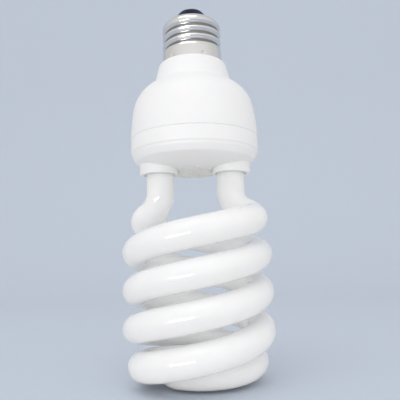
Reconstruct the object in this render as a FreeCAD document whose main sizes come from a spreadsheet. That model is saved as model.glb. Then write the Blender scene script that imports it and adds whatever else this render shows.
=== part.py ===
"""Screw-in spiral energy saving lamp: parametric document, one solid for each piece.

Millimetres. +Z points out of the cap, the origin is on the axis at the lower rim of the screw shell,
and the front of the lamp faces -Y with its two tube legs at plus and minus X.
"""

import FreeCAD
import Part
import Sketcher

import math
import os

Vector = FreeCAD.Vector

# Driving dimensions
DIMENSIONS = {
    # screw shell, rolled from thin sheet, with a plain skirt and the land of its thread
    "shellRadius": 13.2,
    "shellWall": 0.35,
    "skirtLength": 5.2,
    "crestInset": 0.1,
    "shoulderStart": 16.5,
    "shoulderRadius": 3.5,
    "shellOpening": 9.3,
    # contact end
    "fitGap": 0.05,
    "insulatorDepth": 2.8,
    "insulatorRise": 5.1,
    "insulatorTop": 5.3,
    "wireHole": 1.2,
    "contactRadius": 4.7,
    "contactWall": 0.5,
    "contactDish": 0.5,
    "solderRadius": 1.9,
    "solderRise": 0.5,
    # upper housing
    "housingRadius": 27.4,
    "housingWall": 1.6,
    "seamDepth": 34.2,
    "seamGroove": 0.3,
    "sideRadius": 75.0,
    "sideAngle": 10.1,
    "domeRadius": 15.9,
    "kneeRadius": 17.1,
    "kneeFillet": 1.6,
    "neckRadius": 15.1,
    "neckRound": 1.5,
    "spigotLength": 4.6,
    "spigotWall": 1.5,
    "spigotFoot": 3.0,
    # tube holder
    "bandHeight": 5.9,
    "bandWall": 2.2,
    "stepWidth": 0.4,
    "stepFall": 0.5,
    "lipWidth": 0.6,
    "lipFall": 1.5,
    "plateInset": 2.1,
    "plateDepth": 9.8,
    "plateBulge": 3.4,
    "plateWall": 1.8,
    "snapHeight": 5.0,
    "snapWall": 1.4,
    "snapGap": 0.2,
    "snapBead": 0.35,
    "snapShelf": 1.2,
    "collarRadius": 8.15,
    "collarInset": 11.8,
    "collarLength": 5.2,
    "collarRise": 0.5,
    "collarChamfer": 0.5,
    "postRadius": 2.2,
    "postInset": 7.9,
    # discharge tube
    "tubeRadius": 5.95,
    "legShift": 0.5,
    "legReach": 12.5,
    "legInside": 6.0,
    "bendDrop": 13.8,
    "bendAngle": 30.0,
    "spiralRadius": 25.5,
    "spiralPitch": 30.7,
    "spiralAngle": 630.0,
    "hookRadius": 7.2,
    "tubeEndRound": 1.2,
    "cementWall": 0.85,
    "cementRecess": 0.6,
    "patchRadius": 9.0,
    "patchFall": 2.5,
    "patchBack": 11.0,
    "patchDepth": 1.1,
    # ballast board; its parts are drawn for a board of the usual radius
    "boardUsual": 23.4,
    "boardInset": 4.0,
    "boardWall": 1.6,
    "boardRise": 8.0,
}


class Size:
    """A length that knows its number and the sheet expression that gives it."""

    def __init__(self, value, text=None):
        self.value = float(value)
        self.text = text or repr(float(value))

    def __add__(self, other):
        other = sizeOf(other)
        return Size(self.value + other.value, f"({self.text} + {other.text})")

    def __sub__(self, other):
        other = sizeOf(other)
        return Size(self.value - other.value, f"({self.text} - {other.text})")

    def __mul__(self, other):
        other = sizeOf(other)
        return Size(self.value * other.value, f"({self.text} * {other.text})")

    def __truediv__(self, other):
        other = sizeOf(other)
        return Size(self.value / other.value, f"({self.text} / {other.text})")

    def __rsub__(self, other):
        return sizeOf(other) - self

    __radd__ = __add__
    __rmul__ = __mul__

    def __neg__(self):
        return Size(-self.value, f"(0 - {self.text})")


def sizeOf(value):
    return value if isinstance(value, Size) else Size(value)


def root(size):
    return Size(math.sqrt(size.value), f"sqrt({size.text})")


def sine(angle):
    return Size(math.sin(math.radians(angle.value)), f"sin({angle.text})")


def cosine(angle):
    return Size(math.cos(math.radians(angle.value)), f"cos({angle.text})")


doc = FreeCAD.newDocument("SpiralLamp")
sheet = doc.addObject("Spreadsheet::Sheet", "Dimensions")
for row, (name, value) in enumerate(DIMENSIONS.items(), 1):
    sheet.set(f"A{row}", name)
    sheet.set(f"B{row}", str(value))
    sheet.setAlias(f"B{row}", name)
doc.recompute()


def cell(name):
    return Size(sheet.get(name), f"Dimensions.{name}")


nodes = []


def node(thing, label):
    """Mark an object of the document as one piece of the lamp."""
    thing.Label = label
    nodes.append(thing)
    return thing


def bind(thing, **sizes):
    """Bind properties to the sheet; Base_x stands for Placement.Base.x."""
    for name, size in sizes.items():
        path = name if not name.startswith("Base_") else f"Placement.Base.{name[-1]}"
        thing.setExpression(path, sizeOf(size).text)
    return thing


# Sketched bodies


def arcBetween(start, end, radius):
    """The short arc from start to end; a positive radius turns left, a negative one right."""
    chord = end - start
    left = Vector(-chord.y, chord.x, 0).normalize()
    reach = math.sqrt(radius * radius - chord.Length**2 / 4)
    centre = (start + end) * 0.5 + left * math.copysign(reach, radius)
    first, last = (start, end) if radius > 0 else (end, start)
    angles = [math.atan2(p.y - centre.y, p.x - centre.x) for p in (first, last)]
    return Part.ArcOfCircle(Part.Circle(centre, Vector(0, 0, 1), abs(radius)), *angles)


def outlineSketch(body, label, plane, corners):
    """A closed outline whose every corner is held by the sheet.

    A corner is (x, y), or (x, y, radius) where an arc leads on to the next corner.
    """
    sketch = body.newObject("Sketcher::SketchObject", label)
    origin = next(f for f in body.Origin.OriginFeatures if f.Role == plane)
    sketch.AttachmentSupport = [(origin, "")]
    sketch.MapMode = "FlatFace"
    places = [Vector(sizeOf(c[0]).value, sizeOf(c[1]).value, 0) for c in corners]
    ends = []
    for index, corner in enumerate(corners):
        start, end = places[index], places[(index + 1) % len(corners)]
        if len(corner) == 3:
            radius = sizeOf(corner[2])
            sketch.addGeometry(arcBetween(start, end, radius.value))
            ends.append((1, 2) if radius.value > 0 else (2, 1))
        else:
            sketch.addGeometry(Part.LineSegment(start, end))
            ends.append((1, 2))
    for index, corner in enumerate(corners):
        following = (index + 1) % len(corners)
        joint = ("Coincident", index, ends[index][1], following, ends[following][0])
        sketch.addConstraint(Sketcher.Constraint(*joint))
    for index, corner in enumerate(corners):
        for kind, axis, size in (("DistanceX", -2, corner[0]), ("DistanceY", -1, corner[1])):
            size = sizeOf(size)
            point = (index, ends[index][0])
            if size.value == 0 and "Dimensions" not in size.text:
                sketch.addConstraint(Sketcher.Constraint("PointOnObject", *point, axis))
                continue
            held = sketch.addConstraint(Sketcher.Constraint(kind, -1, 1, *point, size.value))
            sketch.setExpression(f"Constraints[{held}]", size.text)
        if len(corner) == 3:
            radius = sizeOf(corner[2])
            held = sketch.addConstraint(Sketcher.Constraint("Radius", index, abs(radius.value)))
            text = radius.text if radius.value > 0 else (-radius).text
            sketch.setExpression(f"Constraints[{held}]", text)
    return sketch


def turned(label, corners, degrees=360):
    """A body turned about the Z axis from an outline in the XZ plane."""
    body = doc.addObject("PartDesign::Body", label)
    sketch = outlineSketch(body, label + "_outline", "XZ_Plane", corners)
    turn = body.newObject("PartDesign::Revolution", label + "_turn")
    turn.Profile = sketch
    turn.ReferenceAxis = (sketch, ["V_Axis"])
    turn.Angle = degrees
    body.Tip = turn
    doc.recompute()
    return body


def roundedEdge(body, label, radius, height, size):
    """Fillet the circular edge that runs round the axis at a radius and height."""
    base = body.Tip
    name = None
    for index, edge in enumerate(base.Shape.Edges, 1):
        curve = edge.Curve
        if isinstance(curve, Part.Circle) and abs(curve.Radius - radius) < 0.01:
            if abs(curve.Center.z - height) < 0.01:
                name = f"Edge{index}"
    fillet = body.newObject("PartDesign::Fillet", label)
    fillet.Base = (base, [name])
    fillet.setExpression("Radius", size.text)
    body.Tip = fillet
    doc.recompute()
    return fillet


# Loose solids and booleans


def block(label, sizes, centre, bottom):
    box = doc.addObject("Part::Box", label)
    bind(box, Length=sizes[0], Width=sizes[1], Height=sizes[2])
    corner = [place - sizeOf(size) / 2 for place, size in zip(centre, sizes)]
    bind(box, Base_x=corner[0], Base_y=corner[1], Base_z=bottom)
    return box


def drum(label, radius, height, centre, bottom):
    cylinder = doc.addObject("Part::Cylinder", label)
    bind(cylinder, Radius=radius, Height=height)
    bind(cylinder, Base_x=centre[0], Base_y=centre[1], Base_z=bottom)
    return cylinder


def cut(label, base, tool):
    result = doc.addObject("Part::Cut", label)
    result.Base, result.Tool = base, tool
    return result


def fused(label, shapes):
    result = doc.addObject("Part::MultiFuse", label)
    result.Shapes = shapes
    result.Refine = True
    return result


def grouped(label, shapes):
    result = doc.addObject("Part::Compound", label)
    result.Links = shapes
    return result


ORIGIN = (Size(0), Size(0))

# Heights down the lamp and the spread of its parts, all worked out from the sheet
rimTop = Size(0)
seam = -cell("seamDepth")
bandFoot = seam - cell("bandHeight")
plateFace = seam - cell("plateDepth")
collarFoot = plateFace - cell("collarLength")
collarTop = plateFace + cell("collarRise")
boardFoot = plateFace + cell("boardRise")
boardTop = boardFoot + cell("boardWall")
legTop = plateFace + cell("legInside")
collarOffset = cell("housingRadius") - cell("collarInset")
legOffset = collarOffset - cell("legShift")
boardRadius = cell("housingRadius") - cell("boardInset")

# Screw shell: plain skirt, thread land and rounded shoulder round the opening for the insulator

wall = cell("shellWall")
crest = cell("shellRadius") - cell("crestInset")
crestFoot = cell("skirtLength") + cell("crestInset") * 2
shoulderCentre = crest - cell("shoulderRadius")
shoulderReach = cell("shellOpening") - shoulderCentre


def shoulderTop(radius):
    """Height of a shoulder arc of this radius where it meets the opening."""
    return cell("shoulderStart") + root(radius * radius - shoulderReach * shoulderReach)


shellTop = shoulderTop(cell("shoulderRadius"))
shell = turned(
    "screw_shell",
    [
        (cell("shellRadius"), rimTop),
        (cell("shellRadius"), cell("skirtLength")),
        (crest, crestFoot),
        (crest, cell("shoulderStart"), cell("shoulderRadius")),
        (cell("shellOpening"), shellTop),
        (cell("shellOpening"), shoulderTop(cell("shoulderRadius") - wall), wall - cell("shoulderRadius")),
        (crest - wall, cell("shoulderStart")),
        (crest - wall, crestFoot),
        (cell("shellRadius") - wall, cell("skirtLength")),
        (cell("shellRadius") - wall, rimTop),
    ],
)
node(shell, "screw_shell")

# Contact end: glass insulator, dished contact and its drop of solder

insulatorEdge = cell("shellOpening") - cell("fitGap")
insulatorBend = cell("shoulderRadius") - wall - cell("fitGap") * 2
insulatorFoot = shellTop - cell("insulatorDepth")
insulatorRim = shoulderCentre + root(
    insulatorBend * insulatorBend
    - (insulatorFoot - cell("shoulderStart")) * (insulatorFoot - cell("shoulderStart"))
)
insulatorNeck = cell("shoulderStart") + root(
    insulatorBend * insulatorBend - (insulatorEdge - shoulderCentre) * (insulatorEdge - shoulderCentre)
)
insulatorTop = shellTop + cell("insulatorRise")
contactTop = insulatorTop + cell("contactWall")

node(
    turned(
        "contact_insulator",
        [
            (cell("wireHole"), insulatorFoot),
            (insulatorRim, insulatorFoot, insulatorBend),
            (insulatorEdge, insulatorNeck),
            (insulatorEdge, shellTop + cell("fitGap")),
            (cell("insulatorTop"), insulatorTop),
            (cell("wireHole"), insulatorTop),
        ],
    ),
    "contact_insulator",
)
contactCrown = (cell("contactRadius") * cell("contactRadius") + cell("contactDish") * cell("contactDish")) / (
    cell("contactDish") * 2
)
node(
    turned(
        "centre_contact",
        [
            (0, insulatorTop),
            (cell("contactRadius"), insulatorTop),
            (cell("contactRadius"), contactTop, contactCrown),
            (0, contactTop + cell("contactDish")),
        ],
    ),
    "centre_contact",
)
solderFoot = contactTop + cell("contactDish") - contactCrown + root(
    contactCrown * contactCrown - cell("solderRadius") * cell("solderRadius")
)
solderTop = contactTop + cell("contactDish") + cell("solderRise")
solderCrown = (
    cell("solderRadius") * cell("solderRadius") + (solderTop - solderFoot) * (solderTop - solderFoot)
) / ((solderTop - solderFoot) * 2)
node(
    turned(
        "contact_solder",
        [
            (0, contactTop + cell("contactDish")),
            (0, solderTop, -solderCrown),
            (cell("solderRadius"), solderFoot, contactCrown),
        ],
    ),
    "contact_solder",
)

# Upper housing: neck, dome and side in one moulding, with a spigot inside the shell

sweepCos, sweepSin = cosine(cell("sideAngle")), sine(cell("sideAngle"))
sideCentre = cell("housingRadius") - cell("sideRadius")
domeCentre = (
    sideCentre + (cell("sideRadius") - cell("domeRadius")) * sweepCos,
    seam + (cell("sideRadius") - cell("domeRadius")) * sweepSin,
)


def housingSide(inset):
    """Radius and height where the side's arc runs into the dome's, drawn in by inset."""
    reach = cell("sideRadius") - inset
    return sideCentre + reach * sweepCos, seam + reach * sweepSin


def kneeHeight(inset, radius):
    bend = cell("domeRadius") - inset
    return domeCentre[1] + root(bend * bend - (radius - domeCentre[0]) * (radius - domeCentre[0]))


skin = cell("housingWall")
knee = kneeHeight(Size(0), cell("kneeRadius"))
innerKneeRadius = cell("kneeRadius") - skin
innerKnee = kneeHeight(skin, innerKneeRadius)
spigotRadius = cell("shellRadius") - wall - cell("fitGap")
spigotBore = spigotRadius - cell("spigotWall")
neckShelf = cell("neckRadius") - cell("neckRound")
innerSide = housingSide(skin)
outerSide = housingSide(Size(0))
bead = cell("snapBead")
beadHeight = seam + cell("snapHeight") * 0.55

housing = turned(
    "upper_housing",
    [
        (cell("housingRadius") - skin, seam),
        (cell("housingRadius") - cell("seamGroove"), seam),
        (cell("housingRadius"), seam + cell("seamGroove"), cell("sideRadius")),
        (outerSide[0], outerSide[1], cell("domeRadius")),
        (cell("kneeRadius"), knee),
        (cell("neckRadius"), rimTop - cell("neckRound"), cell("neckRound")),
        (neckShelf, rimTop),
        (spigotRadius, rimTop),
        (spigotRadius, rimTop + cell("spigotLength")),
        (spigotBore, rimTop + cell("spigotLength")),
        (spigotBore, rimTop - cell("spigotFoot")),
        (innerKneeRadius, innerKnee, -(cell("domeRadius") - skin)),
        (innerSide[0], innerSide[1], -(cell("sideRadius") - skin)),
    ],
)
roundedEdge(housing, "housing_knee", cell("kneeRadius").value, knee.value, cell("kneeFillet"))
node(housing, "upper_housing")

# Tube holder: the cup that closes the housing and carries the two tube ends

snapRadius = cell("housingRadius") - skin - cell("snapGap") - bead
snapBore = snapRadius - cell("snapWall")
bandBore = cell("housingRadius") - cell("bandWall")
lipFoot = bandFoot - cell("lipFall")
plateRadius = cell("housingRadius") - cell("plateInset")
plateLow = plateFace - cell("plateBulge")
plateArc = (plateRadius * plateRadius + cell("plateBulge") * cell("plateBulge")) / (cell("plateBulge") * 2)
floorArc = plateArc - cell("plateWall")
floorRadius = plateRadius - cell("plateWall") * 0.95
floorEdge = plateLow + plateArc - root(floorArc * floorArc - floorRadius * floorRadius)

cup = turned(
    "holder_cup",
    [
        (0, plateLow, plateArc),
        (plateRadius, plateFace),
        (cell("housingRadius") - cell("lipWidth"), lipFoot),
        (cell("housingRadius") - cell("stepWidth"), bandFoot - cell("stepFall")),
        (cell("housingRadius"), bandFoot),
        (cell("housingRadius"), seam - cell("seamGroove")),
        (cell("housingRadius") - cell("seamGroove"), seam),
        (snapRadius, seam),
        (snapRadius, beadHeight - bead),
        (snapRadius + bead, beadHeight),
        (snapRadius, beadHeight + bead),
        (snapRadius, seam + cell("snapHeight")),
        (snapBore, seam + cell("snapHeight")),
        (snapBore, seam - cell("snapShelf")),
        (bandBore, seam - cell("snapShelf") - (bandBore - snapBore)),
        (bandBore, lipFoot + (cell("plateWall") - cell("lipFall"))),
        (floorRadius, floorEdge, -floorArc),
        (0, plateLow + cell("plateWall")),
    ],
)

socket = cell("tubeRadius") + cell("cementWall")
sides = (Size(1), Size(-1))
collarPlaces = [(collarOffset * side, Size(0)) for side in sides]
legPlaces = [(legOffset * side, Size(0)) for side in sides]
collars = []
bores = []
for index, place in enumerate(collarPlaces, 1):
    chamfer = cell("collarChamfer")
    foot = collarFoot + chamfer
    collars.append(drum(f"collar_{index}", cell("collarRadius"), collarTop - foot, place, foot))
    lip = doc.addObject("Part::Cone", f"collar_lip_{index}")
    bind(lip, Radius1=cell("collarRadius") - chamfer, Radius2=cell("collarRadius"), Height=chamfer)
    bind(lip, Base_x=place[0], Base_z=collarFoot)
    collars.append(lip)
    bores.append(drum(f"collar_bore_{index}", socket, collarTop - collarFoot + 3, place, collarFoot - 1))
posts = []
postCircle = cell("housingRadius") - cell("postInset")
postFoot = plateFace - cell("plateWall") * 0.28
for index, (right, back) in enumerate(((1, 1), (-1, 1), (-1, -1), (1, -1)), 1):
    place = (postCircle * cosine(Size(60)) * right, postCircle * sine(Size(60)) * back)
    posts.append(drum(f"post_{index}", cell("postRadius"), boardFoot - postFoot, place, postFoot))
holder = fused("holder_with_collars", [cup] + collars + posts)
node(cut("tube_holder", holder, grouped("collar_bores", bores)), "tube_holder")

# Discharge tube: one sealed glass tube bent double and wound into a two-start spiral


def alongArc(start, direction, end):
    """The arc that leaves start along direction and ends at end."""
    chord = end - start
    normal = direction.cross(chord)
    if normal.Length < 1e-9:
        return Part.LineSegment(start, end).toShape()
    side = normal.cross(direction).normalize()
    radius = chord.dot(chord) / (2 * chord.dot(side))
    centre = start + side * radius
    middle = ((start + end) * 0.5 - centre).normalize()
    return Part.Arc(start, centre + middle * radius, end).toShape()


def twoArcs(start, startDirection, end, endDirection):
    """Two arcs that join two points of the path, smooth at both ends and between them."""
    chord = end - start
    both = startDirection + endDirection
    square = 2 * (1 - startDirection.dot(endDirection))
    linear = 2 * chord.dot(both)
    reach = (math.sqrt(linear**2 + 4 * square * chord.dot(chord)) - linear) / (2 * square)
    first, last = start + startDirection * reach, end - endDirection * reach
    return [
        alongArc(start, startDirection, (first + last) * 0.5),
        alongArc((first + last) * 0.5, (last - first).normalize(), end),
    ]


def spiralTube():
    """One half of the tube, from its seal to the middle of the lamp's foot, and its turned twin."""
    offset, reach = legOffset.value, cell("spiralRadius").value
    pitch, hook = cell("spiralPitch").value, cell("hookRadius").value
    top, legFoot = legTop.value, (plateFace - cell("legReach")).value
    fall = pitch / (2 * math.pi * reach)
    bendAngle, turn = cell("bendAngle").value, cell("spiralAngle").value
    helixTop = legFoot - cell("bendDrop").value

    def helix(angle):
        """Place and direction after winding this many degrees clockwise from the leg's bend."""
        way = math.radians(-bendAngle - angle)
        place = Vector(reach * math.cos(way), reach * math.sin(way), helixTop - pitch * angle / 360)
        return place, Vector(math.sin(way), -math.cos(way), -fall).normalize()

    legStart, legEnd = Vector(offset, 0, top), Vector(offset, 0, legFoot)
    path = [Part.LineSegment(legStart, legEnd).toShape()]
    path += twoArcs(legEnd, Vector(0, 0, -1), *helix(0))
    quarters = max(1, round(turn / 90))
    for index in range(quarters):
        start, end = helix(turn * index / quarters), helix(turn * (index + 1) / quarters)
        path += twoArcs(*start, *end)

    # The last half turn draws in to the hook while its fall dies away, and the hook ends level on the axis
    wound = math.radians(-bendAngle - turn)
    out = Vector(math.cos(wound), math.sin(wound), 0)
    along = Vector(out.y, -out.x, 0)
    inward = (reach + 2 * hook) / 2
    middle = out * ((reach - 2 * hook) / 2)
    length = math.pi * inward
    last = helix(turn)[0].z

    def closing(angle):
        left = 1 - inward * angle / length
        place = middle + out * (inward * math.cos(angle)) + along * (inward * math.sin(angle))
        place.z = last - fall * length * (1 - left**2.5) / 2.5
        slope = fall * left**1.5
        return place, (along * math.cos(angle) - out * math.sin(angle) - Vector(0, 0, slope)).normalize()

    for start, end in ((0, math.pi / 2), (math.pi / 2, math.pi)):
        path += twoArcs(*closing(start), *closing(end))
    level = closing(math.pi)[0].z
    hookStart = out * (-2 * hook) + Vector(0, 0, level)
    hookMiddle = out * -hook - along * hook + Vector(0, 0, level)
    path.append(Part.Arc(hookStart, hookMiddle, Vector(0, 0, level)).toShape())

    radius = cell("tubeRadius").value
    section = Part.Wire(Part.makeCircle(radius, legStart, Vector(0, 0, 1)))
    half = Part.Wire(path).makePipeShell([section], True, False)
    rims = [edge for edge in half.Edges if isinstance(edge.Curve, Part.Circle)]
    seal = next(edge for edge in rims if abs(edge.Curve.Center.z - top) < 1e-6)
    half = half.makeFillet(cell("tubeEndRound").value, [seal])
    other = half.copy()
    other.rotate(Vector(0, 0, 0), Vector(0, 0, 1), 180)
    return half.fuse(other).Solids[0], level


tubeShape, footLevel = spiralTube()
tube = doc.addObject("Part::Feature", "spiral_tube")
tube.Shape = tubeShape
node(tube, "spiral_tube")

# Cement between each tube end and its collar, set back from the collar's mouth
cementFoot = collarFoot + cell("cementRecess")
for index, (place, leg) in enumerate(zip(collarPlaces, legPlaces), 1):
    sleeve = drum(f"cement_sleeve_{index}", socket, collarTop - cementFoot, place, cementFoot)
    core = drum(f"cement_core_{index}", cell("tubeRadius"), collarTop - collarFoot + 1, leg, collarFoot)
    node(cut(f"tube_cement_{index}", sleeve, core), f"tube_cement_{index}")

# A smear of the same cement that hangs under the holder behind its middle
patchLow = plateLow - cell("patchDepth")
patchRim = patchLow + cell("patchFall")
patchArc = (cell("patchRadius") * cell("patchRadius") + cell("patchFall") * cell("patchFall")) / (
    cell("patchFall") * 2
)
lump = turned(
    "cement_lump",
    [
        (0, patchLow, patchArc),
        (cell("patchRadius"), patchRim),
        (cell("patchRadius"), patchRim + cell("plateWall")),
        (0, patchRim + cell("plateWall")),
    ],
)
bind(lump, Base_y=cell("patchBack"))
above = turned(
    "holder_filled",
    [
        (0, plateLow, plateArc),
        (plateRadius, plateFace),
        (plateRadius, plateFace + cell("bandHeight")),
        (0, plateFace + cell("bandHeight")),
    ],
)
node(cut("cement_smear", lump, above), "cement_smear")

# Ballast board and the parts on it, which grow and shrink with the board

board = drum("circuit_board", boardRadius, cell("boardWall"), ORIGIN, boardFoot)
node(board, "circuit_board")
boardUnit = boardRadius / cell("boardUsual")


def onBoard(value):
    """A length or a set of lengths drawn for the board of the usual size."""
    if isinstance(value, dict):
        return {name: onBoard(item) for name, item in value.items()}
    if isinstance(value, tuple):
        return tuple(onBoard(item) for item in value)
    return boardUnit * value


def place(thing, spot, degrees=0):
    """Put a piece at a spot on the board, turned about the upright."""
    thing.Placement.Rotation = FreeCAD.Rotation(Vector(0, 0, 1), degrees)
    return bind(thing, Base_x=spot[0], Base_y=spot[1])


CAPACITOR = {"radius": 6.25, "height": 21.0, "bead": 0.5, "beadFoot": 2.2, "x": -5.5, "y": 4.0}
capacitor = onBoard(CAPACITOR)
capTop = boardTop + capacitor["height"]
beadLow = boardTop + capacitor["beadFoot"]
can = turned(
    "electrolytic_capacitor",
    [
        (0, boardTop),
        (capacitor["radius"] - capacitor["bead"], boardTop),
        (capacitor["radius"], boardTop + capacitor["bead"]),
        (capacitor["radius"], beadLow),
        (capacitor["radius"] - capacitor["bead"], beadLow + capacitor["bead"]),
        (capacitor["radius"], beadLow + capacitor["bead"] * 2),
        (capacitor["radius"], capTop - capacitor["bead"]),
        (capacitor["radius"] - capacitor["bead"], capTop),
        (0, capTop),
    ],
)
node(place(can, (capacitor["x"], capacitor["y"])), "electrolytic_capacitor")

# Choke: ferrite core with two windows, its bobbin and winding
CHOKE = {
    "x": 11.5, "y": 0.0, "width": 16.0, "depth": 5.0, "height": 14.0, "leg": 4.2, "yoke": 2.3,
    "window": 3.8, "wall": 0.7, "flange": 0.8, "flangeWidth": 11.0, "flangeDepth": 12.6, "slack": 0.1,
}
choke = onBoard(CHOKE)
chokeAt = (choke["x"], choke["y"])
windowHeight = choke["height"] - choke["yoke"] * 2
windowFoot = boardTop + choke["yoke"]
windows = [
    block(
        f"core_window_{i}",
        (choke["window"], choke["depth"] + 2, windowHeight),
        (chokeAt[0] + side * (choke["leg"] + choke["window"]) / 2, chokeAt[1]),
        windowFoot,
    )
    for i, side in enumerate(sides, 1)
]
coreBlock = block("core_block", (choke["width"], choke["depth"], choke["height"]), chokeAt, boardTop)
node(cut("choke_core", coreBlock, grouped("core_windows", windows)), "choke_core")

slack = choke["slack"]
boreSizes = (choke["leg"] + slack * 2, choke["depth"] + slack * 2)
bobbinHeight = windowHeight - slack * 2
bobbinFoot = windowFoot + slack
tubeSizes = (boreSizes[0] + choke["wall"] * 2, boreSizes[1] + choke["wall"] * 2, bobbinHeight)
flangeSizes = (choke["flangeWidth"], choke["flangeDepth"], choke["flange"])
bobbinSolid = fused(
    "bobbin_solid",
    [
        block("bobbin_tube", tubeSizes, chokeAt, bobbinFoot),
        block("bobbin_foot", flangeSizes, chokeAt, bobbinFoot),
        block("bobbin_head", flangeSizes, chokeAt, bobbinFoot + bobbinHeight - choke["flange"]),
    ],
)
bobbinBore = block("bobbin_bore", boreSizes + (bobbinHeight + 2,), chokeAt, bobbinFoot - 1)
node(cut("choke_bobbin", bobbinSolid, bobbinBore), "choke_bobbin")
windingHeight = bobbinHeight - choke["flange"] * 2
windingFoot = bobbinFoot + choke["flange"]
windingInset = choke["slack"] * 6
windingSizes = (choke["flangeWidth"] - windingInset, choke["flangeDepth"] - windingInset, windingHeight)
windingBlock = block("winding_block", windingSizes, chokeAt, windingFoot)
windingBore = block("winding_bore", tubeSizes[:2] + (windingHeight,), chokeAt, windingFoot)
node(cut("choke_winding", windingBlock, windingBore), "choke_winding")

# Feedback transformer: a ferrite ring with three short windings
TOROID = {"x": -2.0, "y": -13.0, "outer": 5.0, "inner": 2.7, "height": 4.0, "wire": 0.6}
WINDINGS = {"count": 3, "spanAngle": 44}
toroid = onBoard(TOROID)
ringFoot = boardTop + toroid["wire"]
ringTop = ringFoot + toroid["height"]
ringOutline = [
    (toroid["inner"], ringFoot),
    (toroid["outer"], ringFoot),
    (toroid["outer"], ringTop),
    (toroid["inner"], ringTop),
]
ringAt = (toroid["x"], toroid["y"])
node(place(turned("toroid_core", ringOutline), ringAt), "toroid_core")
wire = toroid["wire"]
for index in range(WINDINGS["count"]):
    sleeve = turned(
        f"toroid_sleeve_{index + 1}",
        [
            (toroid["inner"] - wire, boardTop),
            (toroid["outer"] + wire, boardTop),
            (toroid["outer"] + wire, ringTop + wire),
            (toroid["inner"] - wire, ringTop + wire),
        ],
        WINDINGS["spanAngle"],
    )
    space = turned(f"toroid_space_{index + 1}", ringOutline)
    winding = cut(f"toroid_winding_{index + 1}", sleeve, space)
    place(winding, ringAt, 360 * index / WINDINGS["count"])
    node(winding, f"toroid_winding_{index + 1}")

# Power transistors: a slab with a fixing hole on three legs
TRANSISTOR = {
    "thick": 3.2, "width": 8.0, "height": 11.0, "legs": 3.5, "leg": 0.8, "step": 2.3, "hole": 1.6,
    "x": -16.5, "y": 8.0,
}
transistor = onBoard(TRANSISTOR)
for index, side in enumerate((-1, 1), 1):
    bodyFoot = boardTop + transistor["legs"]
    spot = (transistor["x"], transistor["y"] * side)
    slabSizes = (transistor["thick"], transistor["width"], transistor["height"])
    slab = block(f"transistor_slab_{index}", slabSizes, spot, bodyFoot)
    legSizes = (transistor["leg"], transistor["leg"], transistor["legs"])
    legs = [
        block(
            f"transistor_leg_{index}_{step + 2}",
            legSizes,
            (spot[0], spot[1] + transistor["step"] * step),
            boardTop,
        )
        for step in (-1, 0, 1)
    ]
    hole = drum(f"transistor_hole_{index}", transistor["hole"], transistor["thick"] + 2, spot, bodyFoot)
    hole.Placement.Rotation = FreeCAD.Rotation(Vector(0, 1, 0), 90)
    holeHeight = bodyFoot + transistor["height"] * 0.66
    bind(hole, Base_x=spot[0] - transistor["thick"] / 2 - 1, Base_z=holeHeight)
    solid = fused(f"transistor_solid_{index}", [slab] + legs)
    node(cut(f"transistor_{index}", solid, hole), f"transistor_{index}")

# Parts that lie along the board on two bent leads:
# name, spot, direction, then body radius, body length and lead span
LEADS = {"lead": 0.35, "foot": 0.3}
leads = onBoard(LEADS)
AXIAL = [(f"rectifier_diode_{i + 1}", (-9.0 + 4.0 * i, 15.6), 90, (1.35, 5.0, 8.0)) for i in range(4)]
AXIAL += [
    ("base_resistor_1", (-12.5, -15.0), 0, (1.1, 4.6, 7.6)),
    ("base_resistor_2", (-13.3, 0.0), 90, (1.1, 4.6, 7.6)),
    ("start_resistor", (21.3, 0.0), 90, (1.1, 4.6, 7.6)),
    ("trigger_diac", (-20.6, 0.0), 90, (0.9, 3.6, 6.4)),
    ("fuse_resistor", (15.5, -12.2), 90, (1.3, 5.4, 7.8)),
]
for label, spot, direction, lengths in AXIAL:
    radius, length, span = onBoard(lengths)
    height = boardTop + radius
    parts = []
    for name, thick, run in (("body", radius, length), ("lead", leads["lead"], span)):
        rod = drum(f"{label}_{name}", thick, run, ORIGIN, height)
        rod.Placement.Rotation = FreeCAD.Rotation(Vector(0, 1, 0), 90)
        bind(rod, Base_x=-run / 2)
        parts.append(rod)
    for name, side in (("foot_1", 1), ("foot_2", -1)):
        at = ((span / 2 - leads["lead"]) * side, Size(0))
        parts.append(drum(f"{label}_{name}", leads["foot"], radius, at, boardTop))
    whole = fused(label, parts)
    node(place(whole, onBoard(spot), direction), label)

# Film capacitors in boxes and the line choke on its drum core
FILM = [
    ("resonant_capacitor", (10.0, 11.2), (9.0, 4.6, 9.0)),
    ("filter_capacitor", (8.6, 16.8), (7.0, 4.0, 8.0)),
    ("coupling_capacitor", (17.6, 9.4), (4.6, 4.0, 7.0)),
]
for name, spot, lengths in FILM:
    case = block(name + "_case", onBoard(lengths), onBoard(spot), boardTop)
    rounded = doc.addObject("Part::Fillet", name)
    rounded.Base = case
    doc.recompute()
    upright = [i for i, e in enumerate(case.Shape.Edges, 1) if abs(e.tangentAt(0).z) > 0.99]
    rounded.Edges = [(i, 0.6, 0.6) for i in upright]
    node(rounded, name)

LINE_CHOKE = {"x": 8.0, "y": -14.0, "radius": 4.0, "waist": 3.4, "height": 9.0, "flange": 1.2}
lineChoke = onBoard(LINE_CHOKE)
drumTop = boardTop + lineChoke["height"]
drumCore = turned(
    "line_choke",
    [
        (0, boardTop),
        (lineChoke["radius"], boardTop),
        (lineChoke["radius"], boardTop + lineChoke["flange"]),
        (lineChoke["waist"], boardTop + lineChoke["flange"]),
        (lineChoke["waist"], drumTop - lineChoke["flange"]),
        (lineChoke["radius"], drumTop - lineChoke["flange"]),
        (lineChoke["radius"], drumTop),
        (0, drumTop),
    ],
)
node(place(drumCore, (lineChoke["x"], lineChoke["y"])), "line_choke")

# Wires: straight runs joined by tangent arcs


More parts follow.
